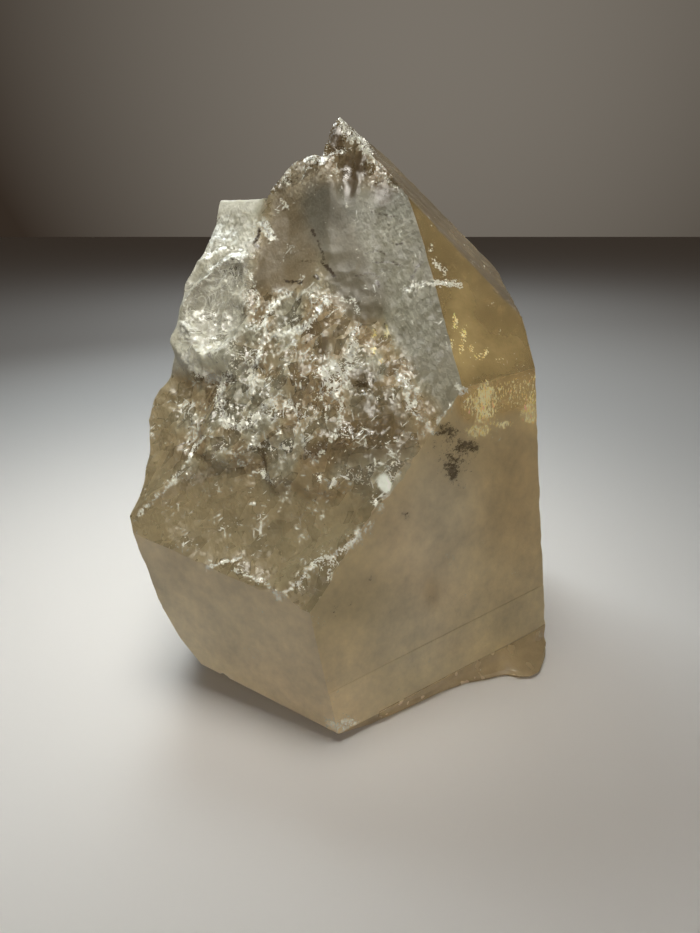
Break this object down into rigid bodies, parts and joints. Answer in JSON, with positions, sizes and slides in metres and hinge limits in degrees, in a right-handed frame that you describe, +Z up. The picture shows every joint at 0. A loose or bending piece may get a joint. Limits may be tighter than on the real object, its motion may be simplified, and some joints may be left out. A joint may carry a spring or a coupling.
{
  "type": "smoky quartz crystal",
  "caption": "Broken smoky quartz point: flat prism faces, a sloping tip and a big rough conchoidal break across the front. Stands upright on its broken base.",
  "frame": {"origin": "centre of the footprint's box, on the surface that the crystal stands on", "axes": "+Z up along the crystal; -Y towards the front, where the big break is; +X to the right"},
  "size_m": [0.123, 0.1412, 0.1558],
  "materials": {
    "quartz": "clear to milky brown, satin on the prism faces, glassy on the tip and the break"
  },
  "bodies": {
    "root": {"crystal": "quartz"}
  },
  "joints": []
}
